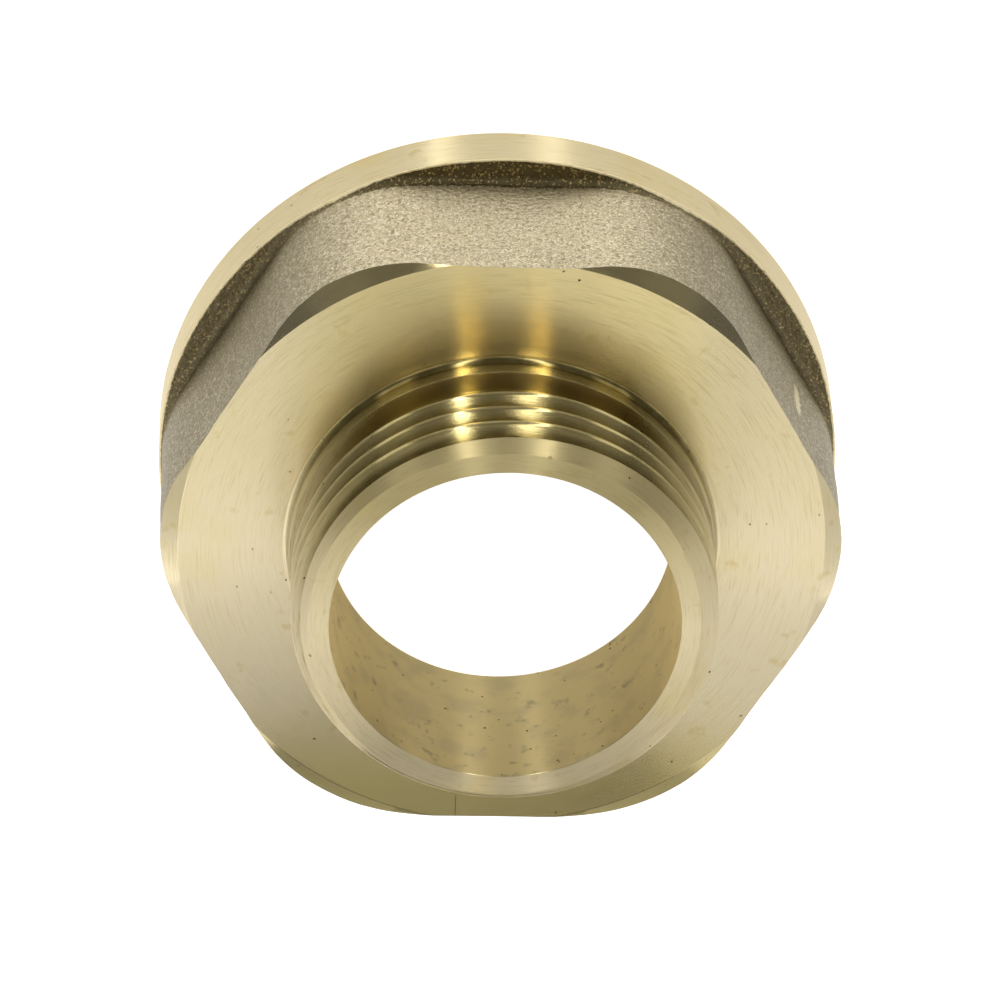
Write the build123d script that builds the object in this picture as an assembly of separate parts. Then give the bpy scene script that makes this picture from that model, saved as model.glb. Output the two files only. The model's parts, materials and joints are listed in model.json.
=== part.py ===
"""Brass reducing pipe adapter: an outside pipe thread on a short nose, a hexagon for the spanner, and a
larger inside thread that opens in a round flange. It is forged and turned in one piece, so it is one solid.

Millimetres. The axis is Z, and the origin is the centre of the flange's back face, so the part stands on
its flange with the nose up. Two of the hexagon's flats face along +Y and -Y.
"""

import os
from math import cos, radians, tan

from build123d import *

# Parallel pipe threads, inch sizes with 11 turns to the inch and a 55 degree Whitworth form.
nose_thread_diameter = 33.249  # over the crests of the one inch outside thread
socket_thread_diameter = 47.803  # over the roots of the one and a half inch inside thread
thread_pitch = 2.309
thread_depth = 0.640327 * thread_pitch  # from crest to root

# Nose, from the hexagon's face up.
collar_length = 1.70  # plain turned shoulder at the foot of the nose
collar_over_thread = 0.08  # how far the shoulder stands out past the thread's crests
collar_fillet = 0.55  # in the corner between the shoulder and the hexagon's face
relief_length = 2.20  # groove where the threading tool runs out
relief_under_root = 0.05
nose_thread_length = 8.26  # from the groove to the end of the nose
nose_chamfer = 1.32
nose_wall = 1.50  # from the thread's roots to the bore
bore_edge_break = 0.20

# Hexagon.
flat_wall = 1.10  # from the socket thread's roots to the flats, which makes 50 across the flats
hexagon_length = 13.90  # from the flange to the turned face
hexagon_corner_radius = 13.0
face_past_flats = 0.45  # how far the turned face's circle reaches past the flats
corner_chamfer_angle = 30.0  # degrees, measured from the turned face

# Flange.
flange_thickness = 4.70
flange_lip = 0.25  # how far the rim stands out past the hexagon's corners
flange_edge_break = 0.20
cast_fillet = 0.95  # in the corner between the flats and the flange

# Socket.
shoulder_thickness = 2.93  # between the socket's floor and the hexagon's face
mouth_past_thread = 0.25  # how far the mouth's chamfer opens past the thread's roots

# Worked out from the sizes above.
nose_crest_radius = nose_thread_diameter / 2
nose_root_radius = nose_crest_radius - thread_depth
collar_radius = nose_crest_radius + collar_over_thread
bore_radius = nose_root_radius - nose_wall
socket_root_radius = socket_thread_diameter / 2
socket_crest_radius = socket_root_radius - thread_depth
mouth_radius = socket_root_radius + mouth_past_thread
flat_distance = socket_root_radius + flat_wall
sharp_corner_distance = flat_distance / cos(radians(30))
corner_distance = sharp_corner_distance - hexagon_corner_radius * (1 / cos(radians(30)) - 1)
flange_radius = corner_distance + flange_lip
face_radius = flat_distance + face_past_flats
face_height = flange_thickness + hexagon_length
collar_top = face_height + collar_length
relief_top = collar_top + relief_length
nose_top = relief_top + nose_thread_length
socket_floor = face_height - shoulder_thickness
casting_allowance = 2 * cast_fillet  # metal round the flange that the lathe takes off


def turned(points):
    """The solid that a closed outline of (radius, height) points makes round the Z axis."""
    return revolve(Plane.XZ * make_face(Polyline(points, close=True)), Axis.Z)


def rough_forging():
    """The hexagon on its flange as it comes out of the die, with rounded corners and a soft inner corner."""
    hexagon = RegularPolygon(flat_distance, 6, major_radius=False)
    hexagon = fillet(hexagon.vertices(), hexagon_corner_radius)
    block = extrude(hexagon, face_height)
    blank = Cylinder(
        flange_radius + casting_allowance,
        flange_thickness,
        align=(Align.CENTER, Align.CENTER, Align.MIN),
    )
    forging = blank + block
    level = forging.edges().filter_by_position(Axis.Z, flange_thickness, flange_thickness)
    rim = level.filter_by(GeomType.CIRCLE).sort_by(SortBy.RADIUS)[-1]
    inner_corner = [edge for edge in level if edge != rim]
    return fillet(inner_corner, cast_fillet)


def lathe_outline():
    """All that the lathe leaves of the forging: the rim, the chamfer on the corners and the flat face."""
    chamfer_drop = (flange_radius - face_radius) * tan(radians(corner_chamfer_angle))
    return turned(
        [
            (0, 0),
            (flange_radius - flange_edge_break, 0),
            (flange_radius, flange_edge_break),
            (flange_radius, face_height - chamfer_drop),
            (face_radius, face_height),
            (0, face_height),
        ]
    )


def nose():
    """The shoulder, the tool's groove and the threaded end, still solid inside."""
    relief_radius = nose_root_radius - relief_under_root
    return turned(
        [
            (0, socket_floor),
            (collar_radius, socket_floor),
            (collar_radius, collar_top),
            (relief_radius, collar_top),
            (relief_radius, relief_top),
            (nose_crest_radius, relief_top),
            (nose_crest_radius, nose_top - nose_chamfer),
            (nose_crest_radius - nose_chamfer, nose_top),
            (0, nose_top),
        ]
    )


def bored_out():
    """The socket with its chamfered mouth, and the narrower bore through the nose, as one cutter."""
    mouth_depth = mouth_radius - socket_crest_radius
    return turned(
        [
            (0, 0),
            (mouth_radius, 0),
            (socket_crest_radius, mouth_depth),
            (socket_crest_radius, socket_floor),
            (bore_radius, socket_floor),
            (bore_radius, nose_top - bore_edge_break),
            (bore_radius + bore_edge_break, nose_top),
            (0, nose_top),
        ]
    )


def adapter_body():
    body = rough_forging() & lathe_outline()
    body = body + nose()
    foot = body.edges().filter_by(GeomType.CIRCLE)
    foot = foot.filter_by_position(Axis.Z, face_height, face_height).sort_by(SortBy.RADIUS)[0]
    body = fillet(foot, collar_fillet)
    return body - bored_out()


os.makedirs("parts", exist_ok=True)
export_step(adapter_body(), "parts/adapter_body.step")
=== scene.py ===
"""Dresses the brass pipe adapter: the forging, the lathe's cuts, the threads and their finishes.

Metres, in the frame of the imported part: the bore runs along Z, the flange's back lies on the floor and the
threaded nose points up.
"""

import json
import math

import bpy
from mathutils import Matrix, Vector


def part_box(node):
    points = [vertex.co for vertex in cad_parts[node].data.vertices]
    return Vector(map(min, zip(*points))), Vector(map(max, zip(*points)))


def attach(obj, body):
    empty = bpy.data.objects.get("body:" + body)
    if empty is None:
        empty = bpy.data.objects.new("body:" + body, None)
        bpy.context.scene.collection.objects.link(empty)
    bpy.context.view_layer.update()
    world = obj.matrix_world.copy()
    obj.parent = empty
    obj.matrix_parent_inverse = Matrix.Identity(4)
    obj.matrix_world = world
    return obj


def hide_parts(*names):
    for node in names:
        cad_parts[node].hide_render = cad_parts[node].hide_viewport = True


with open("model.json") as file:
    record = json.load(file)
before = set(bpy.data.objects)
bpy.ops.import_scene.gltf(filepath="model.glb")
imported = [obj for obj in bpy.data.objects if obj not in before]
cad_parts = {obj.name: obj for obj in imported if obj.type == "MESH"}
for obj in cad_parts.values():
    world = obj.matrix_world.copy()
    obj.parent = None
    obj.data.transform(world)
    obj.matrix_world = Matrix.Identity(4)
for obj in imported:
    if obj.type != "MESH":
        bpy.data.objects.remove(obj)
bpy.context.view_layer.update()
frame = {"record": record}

MM = 0.001
CENTRE = (0.0, 0.0, 0.0)

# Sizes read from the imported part.
mounts = {mount["name"]: mount for mount in frame["record"]["mounts"]}
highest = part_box("adapter_body")[1]
flange_radius = highest.x
nose_top = highest.z
face_height = mounts["seal_face"]["pos_m"][2]
nose_crest_radius = mounts["nose_thread"]["dims"]["r_mm"] * MM
bore_radius = mounts["waterway_bore"]["dims"]["r_mm"] * MM
socket_crest_radius = mounts["socket_thread"]["dims"]["r_mm"] * MM

# Sizes repeated from the part's drawing.
THREAD_PITCH = 2.309 * MM
THREAD_DEPTH = 0.640327 * THREAD_PITCH
THREAD_SLOPE = math.tan(math.radians(27.5))
COLLAR_LENGTH = 1.70 * MM
COLLAR_OVER_THREAD = 0.08 * MM
COLLAR_FILLET = 0.55 * MM
RELIEF_LENGTH = 2.20 * MM
RELIEF_UNDER_ROOT = 0.05 * MM
NOSE_CHAMFER = 1.32 * MM
BORE_EDGE_BREAK = 0.04 * MM  # sharper than the drawing's, as it looks in the photograph
FLAT_DISTANCE = 25.0 * MM
CORNER_RADIUS = 13.0 * MM
FACE_PAST_FLATS = 0.45 * MM
CORNER_CHAMFER_SLOPE = math.tan(math.radians(30))
FLANGE_THICKNESS = 4.70 * MM
FLANGE_EDGE_BREAK = 0.20 * MM
CAST_FILLET = 0.62 * MM  # sharper than the drawing's, as it looks in the photograph
SHOULDER_THICKNESS = 2.93 * MM
MOUTH_PAST_THREAD = 0.25 * MM

nose_root_radius = nose_crest_radius - THREAD_DEPTH
socket_root_radius = socket_crest_radius + THREAD_DEPTH
collar_radius = nose_crest_radius + COLLAR_OVER_THREAD
collar_top = face_height + COLLAR_LENGTH
relief_top = collar_top + RELIEF_LENGTH
socket_floor = face_height - SHOULDER_THICKNESS

TURNED_STEPS = 240  # facets round every turned surface
SMOOTH_ANGLE = math.radians(30)  # sharper edges than this stay sharp
NEAR = 0.002 * MM  # how near its place an edge has to be to be taken for the one that is meant
NEAR_A_CUT = 0.004 * MM  # the same for the threading tool's corners and where one piece has cut another
EDGE_BREAK = 0.05 * MM  # what a file or a scraper takes off a turned edge
RIM_EDGE_BREAK = 0.12 * MM  # off the burr where the turned rim meets the forged front

# The forging's skin: the size and the height of its waves.
SKIN_WAVES = ((6.0 * MM, 0.16 * MM), (1.3 * MM, 0.06 * MM))

# A threading tool's section. Its straight flank stops short of the crest. Then it goes over the crest in
# steps: how far past the crest each is, and how far short of half the pitch.
FLANK_STOPS_SHORT = 0.171 * MM
CREST_STEPS = ((-0.080 * MM, 0.211 * MM), (0.020 * MM, 0.045 * MM), (0.120 * MM, 0.045 * MM))
NOSE_THREAD_TURNS = 5
SOCKET_THREAD_TURNS = 7

# Dents along the nose's edges: distance from the axis, height, degrees from +Y towards +X, and size.
DENTS = (
    (16.34 * MM, 29.76 * MM, -44, 0.22 * MM),
    (16.38 * MM, 29.72 * MM, -50, 0.20 * MM),
    (16.36 * MM, 29.74 * MM, -56, 0.24 * MM),
    (16.62 * MM, 28.90 * MM, 70, 0.16 * MM),
    (15.33 * MM, 30.74 * MM, 11, 0.15 * MM),
    (15.36 * MM, 30.72 * MM, 62, 0.12 * MM),
    (15.34 * MM, 30.74 * MM, -101, 0.14 * MM),
    (16.55 * MM, 29.50 * MM, 38, 0.14 * MM),
    (15.34 * MM, 30.74 * MM, 163, 0.13 * MM),
    (16.58 * MM, 29.46 * MM, -148, 0.18 * MM),
)


def edit_fresh(add, **settings):
    """Adds one primitive, opens it in edit mode with everything selected, and returns its object."""
    bpy.ops.object.select_all(action="DESELECT")
    add(**settings)
    piece = bpy.context.object
    bpy.ops.object.transform_apply(location=True, rotation=True, scale=True)
    bpy.ops.object.mode_set(mode="EDIT")
    return piece


def close_edit(piece, name, material):
    bpy.ops.object.mode_set(mode="OBJECT")
    piece.name = name
    piece.data.name = name
    piece.data.materials.append(material)
    return piece


def pick(piece, kind, wanted):
    """In edit mode, selects the vertices or edges that pass the test and nothing else."""
    bpy.ops.mesh.select_mode(type=kind)
    bpy.ops.mesh.select_all(action="DESELECT")
    bpy.ops.object.mode_set(mode="OBJECT")
    for item in piece.data.vertices if kind == "VERT" else piece.data.edges:
        item.select = wanted(item)
    bpy.ops.object.mode_set(mode="EDIT")


def move_up(distance):
    bpy.ops.transform.translate(value=(0, 0, distance))


def widen(factor):
    bpy.ops.transform.resize(value=(factor, factor, 1), center_override=CENTRE)


def apply_modifier(piece, kind, **settings):
    """Adds one modifier to the piece with those settings and applies it."""
    bpy.ops.object.select_all(action="DESELECT")
    bpy.context.view_layer.objects.active = piece
    piece.select_set(True)
    step = piece.modifiers.new("step", kind)
    for setting, value in settings.items():
        setattr(step, setting, value)
    bpy.ops.object.modifier_apply(modifier="step")


def combine(piece, operation, tool):
    """Cuts, joins or trims the piece with the tool, and takes the tool away."""
    apply_modifier(
        piece, "BOOLEAN", operation=operation, object=tool, solver="EXACT", material_mode="TRANSFER"
    )
    bpy.data.objects.remove(tool)


def turned(name, outline, material):
    """A closed solid of revolution. Its outline is (radius, height, rounding), from the bottom cap up."""
    radius, height, _ = outline[0]
    piece = edit_fresh(
        bpy.ops.mesh.primitive_circle_add,
        vertices=TURNED_STEPS,
        radius=radius,
        location=(0, 0, height),
        fill_type="NGON",
    )
    for next_radius, next_height, _ in outline[1:]:
        bpy.ops.mesh.extrude_region_move()
        move_up(next_height - height)
        widen(next_radius / radius)
        radius, height = next_radius, next_height
    for corner_radius, corner_height, rounding in outline:
        if rounding > 0:
            round_ring(piece, corner_radius, corner_height, rounding, segments=2)
    bpy.ops.mesh.select_all(action="SELECT")
    bpy.ops.mesh.normals_make_consistent(inside=False)
    return close_edit(piece, name, material)


def round_ring(piece, radius, height, rounding, segments):
    """In edit mode, rounds the sharp ring of edges at that radius and height."""

    def on_ring(edge):
        ends = [piece.data.vertices[i].co for i in edge.vertices]
        return all(abs(end.z - height) < NEAR and abs(end.to_2d().length - radius) < NEAR for end in ends)

    pick(piece, "EDGE", on_ring)
    bpy.ops.mesh.bevel(offset=rounding, segments=segments, affect="EDGES")


def helical_cutter(name, crest_radius, root_radius, start_height, turns, phase_height, material):
    """What a threading tool sweeps, wound up the axis: a V with a round nose, which also rounds the crests.
    Its middle crosses +X at phase_height."""
    out = math.copysign(1.0, crest_radius - root_radius)
    root_half = THREAD_PITCH / 4 - THREAD_DEPTH / 2 * THREAD_SLOPE
    # How deep past the root each part of the tool stands, and half its width there.
    depth = THREAD_DEPTH - FLANK_STOPS_SHORT
    half = root_half + depth * THREAD_SLOPE
    steps = [(THREAD_DEPTH + past, THREAD_PITCH / 2 - short) for past, short in CREST_STEPS]
    middle = root_radius + out * depth / 2
    section = edit_fresh(
        bpy.ops.mesh.primitive_plane_add,
        size=1,
        location=(middle, 0, start_height),
        rotation=(math.radians(90), 0, 0),
    )
    bpy.ops.transform.resize(value=(depth, 1, 2 * root_half), center_override=(middle, 0, start_height))
    radius = root_radius + out * depth
    pick(section, "VERT", lambda corner: abs(corner.co.x - radius) < NEAR_A_CUT)
    bpy.ops.transform.resize(value=(1, 1, half / root_half), center_override=(radius, 0, start_height))
    for next_depth, next_half in steps:
        here = root_radius + out * depth
        pick(section, "EDGE", lambda edge: on_tool_edge(section, edge, here))
        bpy.ops.mesh.extrude_edges_move()
        bpy.ops.transform.translate(value=(out * (next_depth - depth), 0, 0))
        bpy.ops.transform.resize(value=(1, 1, next_half / half), center_override=(here, 0, start_height))
        depth, half = next_depth, next_half
    bpy.ops.mesh.select_all(action="SELECT")
    bpy.ops.mesh.dissolve_faces()
    pick(section, "VERT", lambda corner: abs(corner.co.x - root_radius) < NEAR_A_CUT)
    root_rounding = root_half * 0.9
    bpy.ops.mesh.bevel(offset=root_rounding, segments=3, affect="VERTICES")
    bpy.ops.mesh.select_all(action="SELECT")
    bpy.ops.mesh.delete(type="ONLY_FACE")
    bpy.ops.object.mode_set(mode="OBJECT")
    turn = 2 * math.pi * (start_height - phase_height) / THREAD_PITCH
    section.data.transform(Matrix.Rotation(turn, 4, "Z"))
    apply_modifier(
        section,
        "SCREW",
        screw_offset=THREAD_PITCH,
        iterations=turns,
        steps=TURNED_STEPS,
        render_steps=TURNED_STEPS,
        use_merge_vertices=False,
    )
    bpy.ops.object.mode_set(mode="EDIT")
    bpy.ops.mesh.select_all(action="SELECT")
    bpy.ops.mesh.fill_holes(sides=0)
    bpy.ops.mesh.normals_make_consistent(inside=False)
    return close_edit(section, name, material)


def on_tool_edge(section, edge, radius):
    """True for the edge of the tool's section that stands at that radius."""
    return all(abs(section.data.vertices[i].co.x - radius) < NEAR_A_CUT for i in edge.vertices)


def dents(material):
    """Small round cutters, one for each dent."""
    piece = None
    for radius, height, azimuth, size in DENTS:
        turn = math.radians(azimuth)
        place = (radius * math.sin(turn), radius * math.cos(turn), height)
        if piece is None:
            piece = edit_fresh(
                bpy.ops.mesh.primitive_ico_sphere_add, subdivisions=2, radius=size, location=place
            )
        else:
            bpy.ops.mesh.primitive_ico_sphere_add(subdivisions=2, radius=size, location=place)
    bpy.ops.mesh.select_all(action="SELECT")
    bpy.ops.mesh.normals_make_consistent(inside=False)
    return close_edit(piece, "dents", material)


def break_rim_edge(piece, width):
    """Breaks the uneven edge between the turned rim and the forged front of the flange."""
    skin_band = 0.4 * MM

    def on_rim_front(edge):
        ends = [piece.data.vertices[i].co for i in edge.vertices]
        level = all(abs(end.z - FLANGE_THICKNESS) < skin_band for end in ends)
        return level and all(abs(end.to_2d().length - flange_radius) < NEAR_A_CUT for end in ends)

    bpy.ops.object.mode_set(mode="EDIT")
    pick(piece, "EDGE", on_rim_front)
    bpy.ops.mesh.bevel(offset=width, segments=2, affect="EDGES", material=0)
    bpy.ops.object.mode_set(mode="OBJECT")


def edge_length(piece, edge):
    start, end = (piece.data.vertices[i].co for i in edge.vertices)
    return (end - start).length


def edge_radius(piece, edge):
    """The smaller distance from the axis of an edge's two ends."""
    return min(piece.data.vertices[i].co.to_2d().length for i in edge.vertices)


def on_outline(piece, edge, disc_radius):
    """True for the hexagon's own outline at the flange's front."""
    inside = disc_radius * 0.97
    ends = [piece.data.vertices[i].co for i in edge.vertices]
    level = all(abs(end.z - FLANGE_THICKNESS) < NEAR for end in ends)
    return level and all(end.to_2d().length < inside for end in ends)


def runs_outward(piece, edge):
    """True for the edges that run outward over the flange's front."""
    least_reach = 0.5 * MM
    start, end = (piece.data.vertices[i].co for i in edge.vertices)
    level = all(abs(point.z - FLANGE_THICKNESS) < NEAR for point in (start, end))
    return level and abs(start.to_2d().length - end.to_2d().length) > least_reach


def forging(material):
    """The rough forging: a rounded hexagon on a disc, with a soft inner corner and an uneven skin."""
    corners = 6
    corner_centre = (FLAT_DISTANCE - CORNER_RADIUS) / math.cos(math.radians(180 / corners))
    steps_per_corner = 24
    cuts_per_flat = 23
    rings_on_flange = 8
    past_circle = CORNER_RADIUS * 1.01
    piece = edit_fresh(
        bpy.ops.mesh.primitive_circle_add,
        vertices=corners * steps_per_corner,
        radius=CORNER_RADIUS,
        location=(0, 0, FLANGE_THICKNESS),
        rotation=(0, 0, math.radians(180 / (corners * steps_per_corner))),
        fill_type="NOTHING",
    )
    for corner in range(corners):
        angle = math.radians(corner * 360 / corners)
        direction = Vector((math.cos(angle), math.sin(angle)))
        limit = math.cos(math.radians(180 / corners))

        def faces_corner(vertex):
            flat = vertex.co.to_2d()
            return flat.length < past_circle and flat.normalized().dot(direction) > limit

        pick(piece, "VERT", faces_corner)
        bpy.ops.transform.translate(value=direction.to_3d() * corner_centre)
    pick(piece, "EDGE", lambda edge: edge_length(piece, edge) > CORNER_RADIUS / 2)
    bpy.ops.mesh.subdivide(number_cuts=cuts_per_flat)

    # The disc round the hexagon's foot.
    bpy.ops.mesh.select_all(action="DESELECT")
    around = corners * (steps_per_corner + cuts_per_flat)
    disc_radius = flange_radius + 2 * CAST_FILLET
    just_inside_disc = disc_radius * 0.99
    bpy.ops.mesh.primitive_circle_add(
        vertices=around, radius=disc_radius, location=(0, 0, FLANGE_THICKNESS), fill_type="NOTHING"
    )
    bpy.ops.mesh.select_all(action="SELECT")
    bpy.ops.mesh.bridge_edge_loops()
    pick(piece, "EDGE", lambda edge: edge_radius(piece, edge) > just_inside_disc)
    bpy.ops.mesh.extrude_edges_move()
    move_up(-FLANGE_THICKNESS - CAST_FILLET)
    bpy.ops.mesh.edge_face_add()

    # The hexagon's wall, in rows a little lower than the flats' facets are wide.
    row = 0.45 * MM
    first_row = CAST_FILLET * 1.3
    rows = math.ceil((face_height + CAST_FILLET - FLANGE_THICKNESS - first_row) / row)
    pick(piece, "EDGE", lambda edge: on_outline(piece, edge, disc_radius))
    bpy.ops.mesh.extrude_edges_move()
    move_up(first_row)
    for _ in range(rows):
        bpy.ops.mesh.extrude_edges_move()
        move_up(row)
    bpy.ops.mesh.edge_face_add()
    pick(piece, "EDGE", lambda edge: on_outline(piece, edge, disc_radius))
    bpy.ops.mesh.bevel(offset=CAST_FILLET, segments=5, affect="EDGES")
    pick(piece, "EDGE", lambda edge: runs_outward(piece, edge))
    bpy.ops.mesh.subdivide(number_cuts=rings_on_flange)
    bpy.ops.mesh.select_all(action="SELECT")
    bpy.ops.mesh.normals_make_consistent(inside=False)
    close_edit(piece, "forging", material)
    for size, height in SKIN_WAVES:
        skin = bpy.data.textures.new("forged_skin", "CLOUDS")
        skin.noise_scale = size
        skin.noise_depth = 1
        apply_modifier(piece, "DISPLACE", texture=skin, strength=height, mid_level=0.5)
    return piece


class Sheet:
    """A material's or a group's node tree, with short calls for the nodes that it takes."""

    def __init__(self, tree):
        self.tree = tree

    def node(self, kind, inputs=None, **settings):
        """Adds one node. An input is a number, a colour, a vector or another node's output socket."""
        node = self.tree.nodes.new(kind)
        for setting, value in settings.items():
            setattr(node, setting, value)
        for key, value in (inputs or {}).items():
            if isinstance(value, bpy.types.NodeSocket):
                self.tree.links.new(value, node.inputs[key])
            else:
                node.inputs[key].default_value = value
        return node

    def group(self, group, **inputs):
        """Adds one of the shared groups and returns what it gives. Its inputs go by their own names."""
        return self.node("ShaderNodeGroup", inputs, node_tree=group).outputs[0]

    def math(self, operation, *values, clamp=False):
        return self.node(
            "ShaderNodeMath", dict(enumerate(values)), operation=operation, use_clamp=clamp
        ).outputs[0]

    def vector_math(self, operation, first, second):
        return self.node("ShaderNodeVectorMath", {0: first, 1: second}, operation=operation).outputs[0]

    def times(self, *factors):
        result = factors[0]
        for factor in factors[1:]:
            result = self.math("MULTIPLY", result, factor)
        return result

    def greatest(self, *values):
        result = values[0]
        for value in values[1:]:
            result = self.math("MAXIMUM", result, value)
        return result

    def span(self, mask, at_none, at_full):
        """A value that goes from at_none, where the mask is 0, to at_full, where it is 1."""
        return self.math("MULTIPLY_ADD", mask, at_full - at_none, at_none)

    def ramp(self, value, low, high):
        """0 up to low and 1 from high on, with a soft step between. High may be the lower of the two."""
        return self.node(
            "ShaderNodeMapRange",
            {"Value": value, "From Min": low, "From Max": high},
            interpolation_type="SMOOTHSTEP",
        ).outputs["Result"]

    def blend(self, factor, first, second):
        """The first colour where the factor is 0 and the second where it is 1."""
        mix = self.node("ShaderNodeMix", data_type="RGBA")
        for key, value in (("Factor_Float", factor), ("A_Color", first), ("B_Color", second)):
            socket = next(s for s in mix.inputs if s.identifier == key)
            if isinstance(value, bpy.types.NodeSocket):
                self.tree.links.new(value, socket)
            else:
                socket.default_value = value
        return next(s for s in mix.outputs if s.identifier == "Result_Color")

    def lay(self, under, colour, mask, strength=None):
        """One colour laid over another where the mask is 1, as thickly as the strength says."""
        if strength is not None:
            mask = self.times(mask, strength)
        return self.blend(mask, under, colour)

    def noise(self, vector, scale, detail, layer=None):
        """Cloudy noise from 0 to 1. Each layer is another pattern of the same kind."""
        inputs = {"Vector": vector, "Scale": scale, "Detail": detail}
        if layer is None:
            return self.node("ShaderNodeTexNoise", inputs).outputs["Fac"]
        inputs["W"] = layer
        return self.node("ShaderNodeTexNoise", inputs, noise_dimensions="4D").outputs["Fac"]

    def place(self):
        """The point on the part, in metres."""
        return self.node("ShaderNodeTexCoord").outputs["Object"]

    def parts(self, place):
        """A point's X, Y and Z."""
        parts = self.node("ShaderNodeSeparateXYZ", {"Vector": place}).outputs
        return parts["X"], parts["Y"], parts["Z"]

    def from_axis(self, x, y):
        """A point's distance from the bore's axis."""
        return self.math("SQRT", self.math("ADD", self.times(x, x), self.times(y, y)))


def new_group(name, inputs, output):
    """A shader node group. Its inputs are names with their values, and its one output is a mask."""
    group = bpy.data.node_groups.new(name, "ShaderNodeTree")
    for label, value in inputs.items():
        socket = group.interface.new_socket(name=label, in_out="INPUT", socket_type="NodeSocketFloat")
        socket.default_value = value
    group.interface.new_socket(name=output, in_out="OUTPUT", socket_type="NodeSocketFloat")
    sheet = Sheet(group)
    taken = sheet.node("NodeGroupInput").outputs
    given = sheet.node("NodeGroupOutput").inputs[output]
    return group, sheet, taken, given


PER_METRE = 1000.0  # millimetres in a metre, for the sizes that the groups take in millimetres
WARP_SCALE = 4000.0  # of the noise that pulls the pits out of round
WARP_LENGTH = 0.2 * MM


def turning_marks():
    """The arcs that a lathe tool leaves round the axis. They are short, faint and never quite even."""
    group, sheet, taken, given = new_group("turning_marks", {"Spacing_mm": 0.2, "Arcs": 4.0}, "Lines")
    x, y, z = sheet.parts(sheet.place())
    radius = sheet.from_axis(x, y)
    lines_per_metre = sheet.math("DIVIDE", PER_METRE, taken["Spacing_mm"])
    round_x = sheet.times(sheet.math("DIVIDE", x, radius), taken["Arcs"])
    round_y = sheet.times(sheet.math("DIVIDE", y, radius), taken["Arcs"])
    across = sheet.times(radius, lines_per_metre)
    along = sheet.times(z, lines_per_metre)
    vector = sheet.node("ShaderNodeCombineXYZ", {"X": across, "Y": round_x, "Z": round_y}).outputs[0]
    sheet.tree.links.new(sheet.noise(vector, scale=1.0, detail=2.0, layer=along), given)
    return group


def pits():
    """Small dark pits and specks: one in each cell of a warped pattern, or none."""
    group, sheet, taken, given = new_group("pits", {"Apart_mm": 1.5, "Size": 0.1, "Share": 0.5}, "Pits")
    place = sheet.place()
    per_metre = sheet.math("DIVIDE", PER_METRE, taken["Apart_mm"])
    warp = sheet.node("ShaderNodeTexNoise", {"Vector": place, "Scale": WARP_SCALE, "Detail": 1.0})
    shift = sheet.vector_math("MULTIPLY", warp.outputs["Color"], (WARP_LENGTH, WARP_LENGTH, WARP_LENGTH))
    warped = sheet.vector_math("ADD", place, shift)
    cells = sheet.node("ShaderNodeTexVoronoi", {"Vector": warped, "Scale": per_metre})
    dots = sheet.math("LESS_THAN", cells.outputs["Distance"], taken["Size"])
    chance = sheet.node("ShaderNodeSeparateColor", {"Color": cells.outputs["Color"]}).outputs[0]
    kept = sheet.math("LESS_THAN", chance, taken["Share"])
    sheet.tree.links.new(sheet.times(dots, kept), given)
    return group


def smudges():
    """Broad soft patches, such as handling marks, cooling fluid that has dried and uneven tarnish."""
    group, sheet, taken, given = new_group("smudges", {"Size_mm": 6.0, "From": 0.45, "To": 0.65}, "Smudges")
    per_metre = sheet.math("DIVIDE", PER_METRE, taken["Size_mm"])
    cloud = sheet.noise(sheet.place(), scale=per_metre, detail=4.0)
    sheet.tree.links.new(sheet.ramp(cloud, taken["From"], taken["To"]), given)
    return group


def residue_and_shade():
    """A mask between two heights and inward of a radius: for cutting oil and dust, with painted shade over
    them, in a thread's roots and the tool's groove, and for painted shade alone in the crease at the
    collar's foot.
    """
    group, sheet, taken, given = new_group(
        "residue_and_shade", {"Clean_mm": 16.4, "Dirty_mm": 15.6, "Lowest_mm": 18.6, "Highest_mm": 29.4}, "Residue_and_shade"
    )
    place = sheet.place()
    x, y, z = sheet.parts(place)
    radius_mm = sheet.times(sheet.from_axis(x, y), PER_METRE)
    height_mm = sheet.times(z, PER_METRE)
    deep = sheet.ramp(radius_mm, taken["Clean_mm"], taken["Dirty_mm"])
    above = sheet.math("GREATER_THAN", height_mm, taken["Lowest_mm"])
    below = sheet.math("LESS_THAN", height_mm, taken["Highest_mm"])
    least, varying = 0.45, 0.9
    patches = sheet.noise(place, scale=900.0, detail=3.0)
    patchy = sheet.math("MULTIPLY_ADD", patches, varying, least, clamp=True)
    sheet.tree.links.new(sheet.times(above, below, deep, patchy), given)
    return group


MARKS = turning_marks()
RESIDUE_AND_SHADE = residue_and_shade()
PITS = pits()
SMUDGES = smudges()

# Turned brass, from fresh metal to what lies on it, and the colours of its painted shade and painted sheen.
FRESH = (0.785, 0.67, 0.415, 1)
TARNISHED = (0.77, 0.63, 0.32, 1)
# Painted shade: the deeper gold of the side towards +Y.
SHADED_GOLD = (0.69, 0.565, 0.24, 1)
# Painted sheen: the paler tone where the sides catch the lamps.
SHEEN_PALE = (0.69, 0.605, 0.43, 1)
STAINED = (0.62, 0.48, 0.21, 1)
TOOL_LINE = (0.50, 0.41, 0.18, 1)
# Painted shade on the nose's wall towards +Y.
NOSE_SHADE_GOLD = (0.64, 0.53, 0.20, 1)
# Oil and dust in the thread's roots, with painted shade over the flanks and at the collar's foot.
OIL_DUST_AND_SHADE = (0.25, 0.19, 0.055, 1)
# Painted shade near the face's edge at -Y.
SHADED_YELLOW = (0.70, 0.58, 0.24, 1)
DARK_SPECK = (0.13, 0.10, 0.05, 1)
TURNED_EDGE_TINT = (0.96, 0.92, 0.80, 1)

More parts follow.
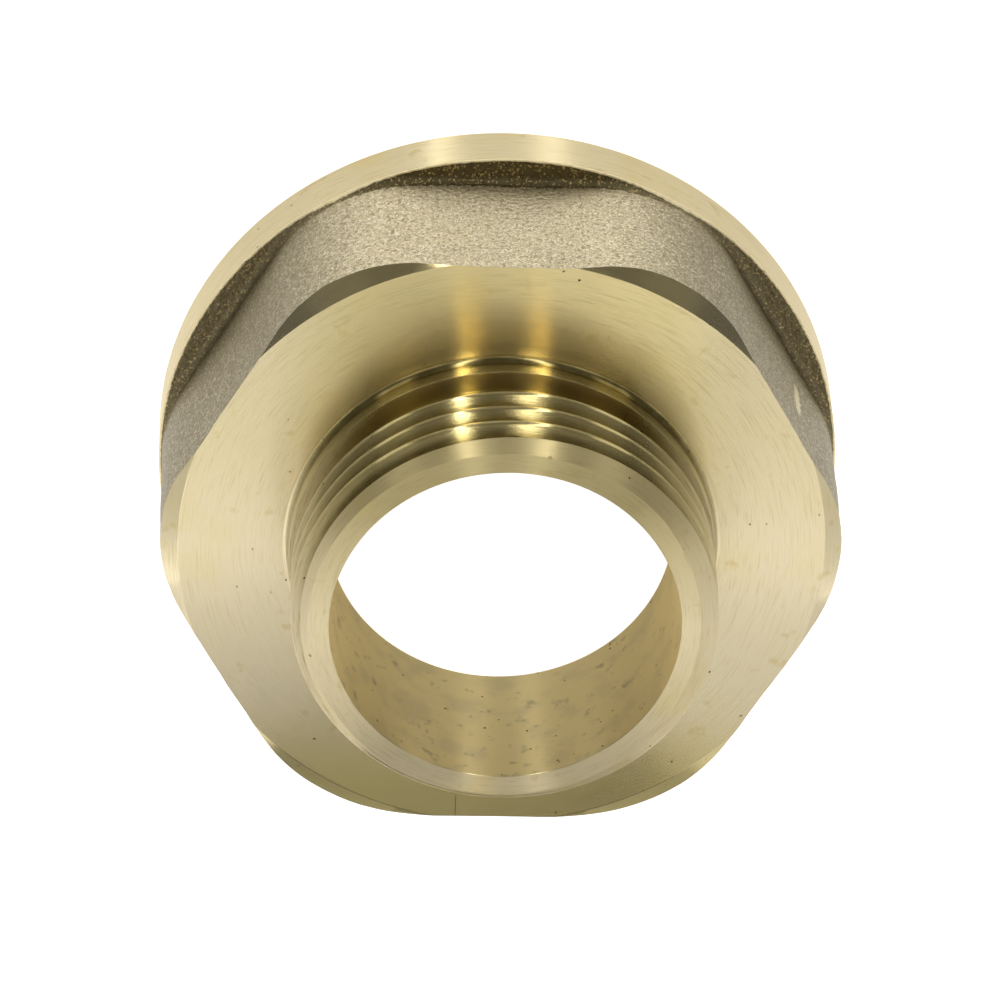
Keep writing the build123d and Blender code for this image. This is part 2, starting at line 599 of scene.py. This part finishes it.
# Bored brass.
BORED = (0.74, 0.62, 0.325, 1)
BORED_DULL = (0.64, 0.54, 0.305, 1)
CHIP_DUST = (0.34, 0.295, 0.19, 1)
BLACK_SPECK = (0.10, 0.08, 0.04, 1)
BORED_EDGE_TINT = (0.9, 0.78, 0.55, 1)

# Forged brass, with the colours of its painted shade and of the burr's painted highlight.
SKIN = (0.70, 0.60, 0.375, 1)
SKIN_DULL = (0.62, 0.53, 0.33, 1)
# Painted shade on the flats towards the sides.
SKIN_SHADED_ASIDE = (0.255, 0.21, 0.12, 1)
SKIN_LOW = (0.25, 0.20, 0.11, 1)
# Painted shade in the corner by the flange.
CORNER_SHADE = (0.075, 0.055, 0.018, 1)
BARE_METAL = (0.90, 0.82, 0.60, 1)
SPARK = (0.62, 0.48, 0.20, 1)
RUBBED = (0.70, 0.61, 0.33, 1)
# The burr's rough edge, painted brighter than brass as a painted highlight.
BURR_HIGHLIGHT = (1.0, 0.86, 0.52, 1)

# Where a finish, a painted shade or a painted sheen fades in on the part, from none to full, in metres.
ABOVE_RIM = (8 * MM, 12 * MM)
SHADE_TOWARDS_FRONT = (-2 * MM, 12 * MM)
SHEEN_TOWARDS_SIDES = (11 * MM, 19 * MM)
NOSE_SIDES = (9 * MM, 15 * MM)
DIRT_AND_SHADE_FRONT = (1 * MM, 11 * MM)
SHADED_LOW_EDGE = (-13 * MM, -23 * MM)
NOSE_END = (29.3 * MM, 29.6 * MM)
WALL_STARTS = (face_height + 0.05 * MM, face_height + 0.20 * MM)
WALL_ENDS = (nose_top - NOSE_CHAMFER + 0.1 * MM, nose_top - NOSE_CHAMFER - 0.1 * MM)
FLATS_SHADED_ASIDE = (8.0 * MM, 18.0 * MM)
CORNER_SHADE_ENDS = (FLANGE_THICKNESS + 0.72 * MM, FLANGE_THICKNESS + 0.56 * MM)
BURR_HIGHLIGHT_STARTS = (flange_radius - 0.13 * MM, flange_radius - 0.05 * MM)

SPECK_DEPTH = 0.03 * MM
STROKE_CORE = 0.3  # how much of a stroke's thickness is full
# The painted shade on the flats is least at this X.
MIDDLE_X = -1.2 * MM  # where the flats are brightest

# A scratch across the turned face: its place along X, half its width, and where it ends along Y.
SCRATCH_X = -2.9 * MM
SCRATCH_HALF_WIDTH = 0.045 * MM
SCRATCH_END = -23.0 * MM

# Where something has rubbed one flat bright, and how fast that fades away along X, Y and Z.
RUBBED_PLACE = (23.25 * MM, 9.73 * MM, 11.5 * MM)
RUBBED_FADE = (1800.0, 1800.0, 420.0)
RUBBED_EDGE = (1.75, 1.35)  # on that scale, where the patch is gone and where it is full
RUBBED_FRAYING = 1.2


def new_material(name):
    """A metal, and the sheet that its nodes go on."""
    material = bpy.data.materials.new(name)
    material.use_nodes = True
    material.node_tree.nodes.clear()
    sheet = Sheet(material.node_tree)
    surface = sheet.node("ShaderNodeBsdfPrincipled", {"Metallic": 1.0})
    sheet.node("ShaderNodeOutputMaterial", {"Surface": surface.outputs[0]})
    return material, sheet, surface


def dress(sheet, surface, colour, rough, relief):
    """Gives the surface its colour, its roughness and its fine relief in metres."""
    bump = sheet.node("ShaderNodeBump", {"Height": relief, "Strength": 1.0, "Distance": 1.0})
    for name, value in (("Base Color", colour), ("Roughness", rough), ("Normal", bump.outputs[0])):
        sheet.tree.links.new(value, surface.inputs[name])


def brush_round(sheet, surface, edge_tint):
    """Spreads reflections across the tool's marks, which run round the axis, and tints them at a glance."""
    quarter_turn = 0.25
    tangent = sheet.node("ShaderNodeTangent", direction_type="RADIAL", axis="Z")
    sheet.tree.links.new(tangent.outputs[0], surface.inputs["Tangent"])
    surface.inputs["Anisotropic"].default_value = 1.0
    surface.inputs["Anisotropic Rotation"].default_value = quarter_turn
    surface.inputs["Specular Tint"].default_value = edge_tint


def turned_brass():
    """Bright brass from the lathe, with fine arcs, a few pits and faint yellow patches of tarnish."""
    material, sheet, surface = new_material("turned_brass")
    x, y, z = sheet.parts(sheet.place())
    sideways = sheet.math("ABSOLUTE", x)
    arcs = sheet.group(MARKS, Spacing_mm=0.10, Arcs=9.0)
    specks = sheet.group(PITS, Apart_mm=1.3, Size=0.07, Share=0.22)
    tarnish = sheet.group(SMUDGES, Size_mm=7.0, From=0.50, To=0.72)
    stains = sheet.group(SMUDGES, Size_mm=1.6, From=0.62, To=0.74)
    # Oil and dust in the thread's roots, spread over the flanks as painted shade.
    roots = sheet.group(RESIDUE_AND_SHADE, Clean_mm=16.40, Dirty_mm=15.7, Lowest_mm=20.4, Highest_mm=29.5)
    # Painted shade in the crease at the collar's foot.
    foot = sheet.group(RESIDUE_AND_SHADE, Clean_mm=17.4, Dirty_mm=17.1, Lowest_mm=18.3, Highest_mm=19.1)
    above_rim = sheet.ramp(z, *ABOVE_RIM)
    front = sheet.times(sheet.ramp(y, *SHADE_TOWARDS_FRONT), above_rim)
    sides = sheet.times(sheet.ramp(sideways, *SHEEN_TOWARDS_SIDES), above_rim)
    wall = sheet.times(sheet.ramp(z, *WALL_STARTS), sheet.ramp(z, *WALL_ENDS))

    # Metal: painted shade in a deeper gold towards +Y and a painted sheen that makes it paler at the sides,
    # with stains and the tool's lines.
    colour = sheet.lay(FRESH, TARNISHED, tarnish)
    colour = sheet.lay(colour, SHADED_GOLD, front, strength=0.65)
    colour = sheet.lay(colour, SHEEN_PALE, sides, strength=0.50)
    colour = sheet.lay(colour, STAINED, stains, strength=0.5)
    lines = sheet.ramp(arcs, 0.50, 0.70)
    colour = sheet.lay(colour, TOOL_LINE, lines, strength=sheet.span(wall, 0.30, 0.70))

    # Painted shade in gold over the nose's wall towards +Y; oil and dust in the thread's roots, with painted
    # shade that thickens them towards +Y; painted shade in the crease at the collar's foot; and painted
    # shade in dark yellow over the face's edge at -Y.
    # Painted shade: the nose's wall deeper gold towards +Y.
    colour = sheet.lay(colour, NOSE_SHADE_GOLD, sheet.times(wall, front), strength=0.4)
    # Painted shade thickens the dark layer towards +Y; in the roots it lies over real oil and dust, at the
    # collar's foot it is painted shade only.
    thickness = sheet.span(sheet.ramp(y, *DIRT_AND_SHADE_FRONT), 0.14, 0.90)
    colour = sheet.lay(colour, OIL_DUST_AND_SHADE, sheet.greatest(roots, foot), strength=thickness)
    # Painted shade: darker, deeper yellow near the face's edge at -Y.
    shaded_low_edge = sheet.times(sheet.ramp(y, *SHADED_LOW_EDGE), above_rim)
    colour = sheet.lay(colour, SHADED_YELLOW, shaded_low_edge, strength=0.9)

    # Specks and one fainter scratch.
    off_scratch = sheet.math("ABSOLUTE", sheet.math("SUBTRACT", x, SCRATCH_X))
    along_scratch = sheet.math("LESS_THAN", y, SCRATCH_END)
    scratch = sheet.times(sheet.math("LESS_THAN", off_scratch, SCRATCH_HALF_WIDTH), along_scratch, 0.6)
    colour = sheet.lay(colour, DARK_SPECK, sheet.greatest(specks, scratch))

    # The nose is rougher at its end, where it has been handled, and at the sides of its wall.
    worn_end = sheet.times(sheet.ramp(z, *NOSE_END), 0.24)
    worn_wall = sheet.times(wall, sheet.span(sheet.ramp(sideways, *NOSE_SIDES), 0.03, 0.27))
    rough = sheet.math("ADD", sheet.span(arcs, 0.14, 0.24), sheet.greatest(worn_end, worn_wall))
    mark_depth = sheet.span(wall, 0.001 * MM, 0.011 * MM)
    relief = sheet.math("ADD", sheet.times(arcs, mark_depth), sheet.times(specks, -SPECK_DEPTH))
    dress(sheet, surface, colour, rough, relief)
    brush_round(sheet, surface, TURNED_EDGE_TINT)
    return material


def bored_brass():
    """The bore's duller wall, streaked and smudged by chips and cutting fluid."""
    material, sheet, surface = new_material("bored_brass")
    arcs = sheet.group(MARKS, Spacing_mm=0.16, Arcs=5.0)
    specks = sheet.group(PITS, Apart_mm=1.1, Size=0.09, Share=0.38)
    dull = sheet.group(SMUDGES, Size_mm=3.2, From=0.46, To=0.68)
    dirt = sheet.group(SMUDGES, Size_mm=1.1, From=0.59, To=0.75)
    colour = sheet.lay(BORED, BORED_DULL, dull)
    colour = sheet.lay(colour, CHIP_DUST, dirt, strength=0.7)
    colour = sheet.lay(colour, BLACK_SPECK, specks)
    rough = sheet.span(arcs, 0.28, 0.38)
    mark_depth = 0.0005 * MM
    relief = sheet.math("ADD", sheet.times(arcs, mark_depth), sheet.times(specks, -SPECK_DEPTH))
    dress(sheet, surface, colour, rough, relief)
    brush_round(sheet, surface, BORED_EDGE_TINT)
    return material


def strokes(sheet, place, scale, thickness, layer):
    """Thin curved strokes, along the middle level of a noise."""
    middle_level = 0.5
    cloud = sheet.noise(place, scale, detail=1.0, layer=layer)
    off_middle = sheet.math("ABSOLUTE", sheet.math("SUBTRACT", cloud, middle_level))
    return sheet.ramp(off_middle, thickness, thickness * STROKE_CORE)


def rubbed_patch(sheet, place):
    """A mask for the frayed patch that something has rubbed bright."""
    away = sheet.vector_math("SUBTRACT", place, RUBBED_PLACE)
    stretched = sheet.vector_math("MULTIPLY", away, RUBBED_FADE)
    reach = sheet.node("ShaderNodeVectorMath", {0: stretched}, operation="LENGTH").outputs["Value"]
    fraying = sheet.times(sheet.noise(place, scale=1500.0, detail=2.0), RUBBED_FRAYING)
    return sheet.ramp(sheet.math("ADD", fraying, reach), *RUBBED_EDGE)


def forged_brass():
    """The skin that the die left: grainy and dull yellow, with short curved glints of bare metal."""
    material, sheet, surface = new_material("forged_brass")
    place = sheet.place()
    x, y, z = sheet.parts(place)
    grain = sheet.noise(place, scale=2600.0, detail=3.0)
    fine = sheet.noise(place, scale=8000.0, detail=2.0)
    grit = sheet.ramp(sheet.noise(place, scale=5200.0, detail=1.0, layer=9.0), 0.57, 0.67)
    whole_strokes = strokes(sheet, place, scale=2400.0, thickness=0.08, layer=1.0)
    glints = sheet.times(whole_strokes, sheet.ramp(fine, 0.44, 0.54))
    furrows = strokes(sheet, place, scale=2000.0, thickness=0.05, layer=5.0)
    tarnish = sheet.group(SMUDGES, Size_mm=5.0, From=0.40, To=0.70)
    shaded_aside = sheet.ramp(sheet.math("ABSOLUTE", sheet.math("SUBTRACT", x, MIDDLE_X)), *FLATS_SHADED_ASIDE)

    # Skin: dull, with painted shade that darkens it towards the sides, and darkest where it is low.
    colour = sheet.lay(SKIN, SKIN_DULL, tarnish)
    colour = sheet.lay(colour, SKIN_SHADED_ASIDE, shaded_aside, strength=0.9)
    low = sheet.greatest(sheet.ramp(grain, 0.55, 0.34), sheet.times(furrows, 0.22))
    colour = sheet.lay(colour, SKIN_LOW, low, strength=0.62)

    # Painted shade in the corner by the flange, up to an uneven line; it is strongest in the middle and
    # fainter towards the sides.
    wander = sheet.span(grain, -0.25 * MM, 0.25 * MM)
    corner = sheet.ramp(sheet.math("ADD", z, wander), *CORNER_SHADE_ENDS)
    colour = sheet.lay(colour, CORNER_SHADE, corner, strength=sheet.span(shaded_aside, 0.90, 0.30))

    # Glints of bare metal on the open skin, dimmed towards the sides along with the painted shade there,
    # sparks in the corner and the rubbed patch.
    open_skin = sheet.math("SUBTRACT", 1.0, corner)
    bare = sheet.times(glints, open_skin, sheet.span(shaded_aside, 1.0, 0.4))
    sparks = sheet.times(grit, corner, 0.65)
    rubbed = rubbed_patch(sheet, place)
    colour = sheet.lay(colour, BARE_METAL, bare)
    colour = sheet.lay(colour, SPARK, sparks)
    colour = sheet.lay(colour, RUBBED, rubbed)

    # The rim's front edge, where the lathe left a rough burr, coloured brighter than brass as a painted
    # highlight.
    burr_unevenness = 0.14 * MM
    uneven = sheet.math("MULTIPLY_ADD", grain, burr_unevenness, sheet.from_axis(x, y))
    colour = sheet.lay(colour, BURR_HIGHLIGHT, sheet.ramp(uneven, *BURR_HIGHLIGHT_STARTS))
    rough = sheet.span(sheet.greatest(bare, sparks, rubbed), 0.50, 0.30)
    grain_height = 0.10 * MM
    fine_height = 0.03 * MM
    relief = sheet.math("ADD", sheet.times(grain, grain_height), sheet.times(fine, fine_height))
    dress(sheet, surface, colour, rough, relief)
    return material


forged = forged_brass()
lathed = turned_brass()
bored = bored_brass()

body = forging(forged)

face_radius = FLAT_DISTANCE + FACE_PAST_FLATS
chamfer_drop = (flange_radius - face_radius) * CORNER_CHAMFER_SLOPE
lathe_outline = turned(
    "lathe_outline",
    [
        (flange_radius - FLANGE_EDGE_BREAK, 0, 0),
        (flange_radius, FLANGE_EDGE_BREAK, 0),
        (flange_radius, face_height - chamfer_drop, 0),
        (face_radius, face_height, EDGE_BREAK),
    ],
    lathed,
)
combine(body, "INTERSECT", lathe_outline)
break_rim_edge(body, RIM_EDGE_BREAK)

relief_radius = nose_root_radius - RELIEF_UNDER_ROOT
inside_the_block = socket_floor + 0.5 * MM
nose = turned(
    "nose",
    [
        (collar_radius, inside_the_block, 0),
        (collar_radius, collar_top, EDGE_BREAK),
        (relief_radius, collar_top, 0),
        (relief_radius, relief_top, 0),
        (nose_crest_radius, relief_top, 0),
        (nose_crest_radius, nose_top - NOSE_CHAMFER, 0),
        (nose_crest_radius - NOSE_CHAMFER, nose_top, EDGE_BREAK),
    ],
    lathed,
)
thread = helical_cutter(
    "thread",
    nose_crest_radius,
    nose_root_radius,
    (collar_top + relief_top) / 2,
    NOSE_THREAD_TURNS,
    nose_top,
    lathed,
)
combine(nose, "DIFFERENCE", thread)
combine(nose, "DIFFERENCE", dents(bored))
combine(body, "UNION", nose)
bpy.ops.object.mode_set(mode="EDIT")
round_ring(body, collar_radius, face_height, COLLAR_FILLET, segments=4)
bpy.ops.object.mode_set(mode="OBJECT")

mouth_radius = socket_root_radius + MOUTH_PAST_THREAD
overreach = 1 * MM
socket = turned(
    "socket",
    [
        (mouth_radius + overreach, -overreach, 0),
        (socket_crest_radius, mouth_radius - socket_crest_radius, 0),
        (socket_crest_radius, socket_floor, 0),
        (bore_radius, socket_floor, 0),
        (bore_radius, nose_top - BORE_EDGE_BREAK, 0),
        (bore_radius + BORE_EDGE_BREAK + overreach, nose_top + overreach, 0),
    ],
    bored,
)
socket_thread = helical_cutter(
    "socket_thread",
    socket_crest_radius,
    socket_root_radius,
    -THREAD_PITCH,
    SOCKET_THREAD_TURNS,
    -THREAD_PITCH,
    bored,
)
combine(socket, "UNION", socket_thread)
combine(body, "DIFFERENCE", socket)
body.name = "adapter_dressed"
bpy.ops.object.shade_smooth_by_angle(angle=SMOOTH_ANGLE)
apply_modifier(body, "WEIGHTED_NORMAL", keep_sharp=True, weight=100)

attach(body, "root")
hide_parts("adapter_body")


# The photograph's own view: from 60 degrees up, turned over so that the flange is at the top.
CAMERA_PLACE = (-0.02420, 0.31895, 0.56588)
CAMERA_TURN = (-29.94, -1.40, 1.92)  # degrees
CAMERA_LENS = 290.22
CAMERA_SENSOR = 36
CAMERA_REACH = 10

# The floor: its paint, how white it is to the camera and in a reflection, and its polish.
FLOOR_SIZE = 6
FLOOR_PAINT = (0.55, 0.55, 0.55, 1)
WHITE_TO_CAMERA = 0.92
WHITE_IN_REFLECTION = 0.57
POLISH = (0.2, 0.2, 0.2, 1)
POLISH_ROUGHNESS = 0.15
WHITE = (1, 1, 1, 1)
ROOM_LIGHT = 0.12

# Lamps that face the part: degrees from +Y towards +X, degrees up, distance, width, height and radiance.
LAMPS = {
    "tube_left": (-17.4, 38, 0.70, 0.040, 0.92, 5.8),
    "tube_right": (17.4, 38, 0.70, 0.040, 0.92, 5.8),
    "corner_left": (-46, 19, 0.80, 0.21, 0.46, 0.74),
    "corner_right": (46, 19, 0.80, 0.21, 0.46, 0.74),
    "side_left": (-110, 27, 0.80, 0.55, 0.78, 0.55),
    "side_right": (110, 27, 0.80, 0.55, 0.78, 0.60),
    "rear_left": (-143, 36, 0.80, 0.46, 1.14, 0.94),
    "rear_right": (143, 36, 0.80, 0.46, 1.14, 0.70),
    "over_table": (180, 71, 0.138, 0.14, 0.050, 0.46),
    "overhead": (0, 90, 0.16, 0.10, 0.07, 0.95),
}


def set_camera():
    data = bpy.data.cameras.new("camera")
    camera = bpy.data.objects.new("camera", data)
    bpy.context.scene.collection.objects.link(camera)
    data.sensor_width = CAMERA_SENSOR
    data.lens = CAMERA_LENS
    data.clip_end = CAMERA_REACH
    camera.location = CAMERA_PLACE
    camera.rotation_euler = [math.radians(angle) for angle in CAMERA_TURN]
    bpy.context.scene.camera = camera


def own_white(sheet):
    """How white the floor is by itself to the camera, and to a reflection or a glass. It lights nothing."""
    path = sheet.node("ShaderNodeLightPath").outputs
    direct = sheet.times(path["Is Camera Ray"], WHITE_TO_CAMERA)
    mirrored = sheet.greatest(path["Is Glossy Ray"], path["Is Transmission Ray"])
    return sheet.greatest(direct, sheet.times(mirrored, WHITE_IN_REFLECTION))


def white_floor():
    """A polished white table. It is white by itself where it is seen, and its paint keeps the shadow."""
    bpy.ops.object.select_all(action="DESELECT")
    bpy.ops.mesh.primitive_plane_add(size=FLOOR_SIZE, location=CENTRE)
    floor = bpy.context.object
    floor.name = "floor"
    material = bpy.data.materials.new("floor_white")
    material.use_nodes = True
    material.node_tree.nodes.clear()
    sheet = Sheet(material.node_tree)
    paint = sheet.node("ShaderNodeBsdfDiffuse", {"Color": FLOOR_PAINT})
    glow = sheet.node("ShaderNodeEmission", {"Strength": own_white(sheet)})
    white = sheet.node("ShaderNodeAddShader", {0: paint.outputs[0], 1: glow.outputs[0]})
    polish = sheet.node("ShaderNodeBsdfGlossy", {"Color": POLISH, "Roughness": POLISH_ROUGHNESS})
    both = sheet.node("ShaderNodeAddShader", {0: white.outputs[0], 1: polish.outputs[0]})
    sheet.node("ShaderNodeOutputMaterial", {"Surface": both.outputs[0]})
    floor.data.materials.append(material)


def softbox(name, azimuth, elevation, distance, width, height, radiance):
    """A flat lamp that faces the part. It doesn't show to the camera."""
    data = bpy.data.lights.new(name, "AREA")
    data.shape = "RECTANGLE"
    data.size = width
    data.size_y = height
    data.energy = radiance * math.pi * width * height
    lamp = bpy.data.objects.new(name, data)
    turn, rise = math.radians(azimuth), math.radians(elevation)
    away = Vector((math.sin(turn) * math.cos(rise), math.cos(turn) * math.cos(rise), math.sin(rise)))
    lamp.location = away * distance
    lamp.rotation_euler = away.to_track_quat("Z", "Y").to_euler()
    lamp.visible_camera = False
    bpy.context.scene.collection.objects.link(lamp)


def studio():
    """The lamps, in a dim room that is white to the camera."""
    for name, settings in LAMPS.items():
        softbox(name, *settings)
    world = bpy.data.worlds.new("world")
    world.use_nodes = True
    world.node_tree.nodes.clear()
    sheet = Sheet(world.node_tree)
    path = sheet.node("ShaderNodeLightPath").outputs
    dim = sheet.node("ShaderNodeBackground", {"Color": WHITE, "Strength": ROOM_LIGHT})
    white = sheet.node("ShaderNodeBackground", {"Color": WHITE, "Strength": 1.0})
    both = sheet.node(
        "ShaderNodeMixShader", {0: path["Is Camera Ray"], 1: dim.outputs[0], 2: white.outputs[0]}
    )
    sheet.node("ShaderNodeOutputWorld", {"Surface": both.outputs[0]})
    bpy.context.scene.world = world
    bpy.context.scene.view_settings.view_transform = "Standard"


set_camera()
white_floor()
studio()
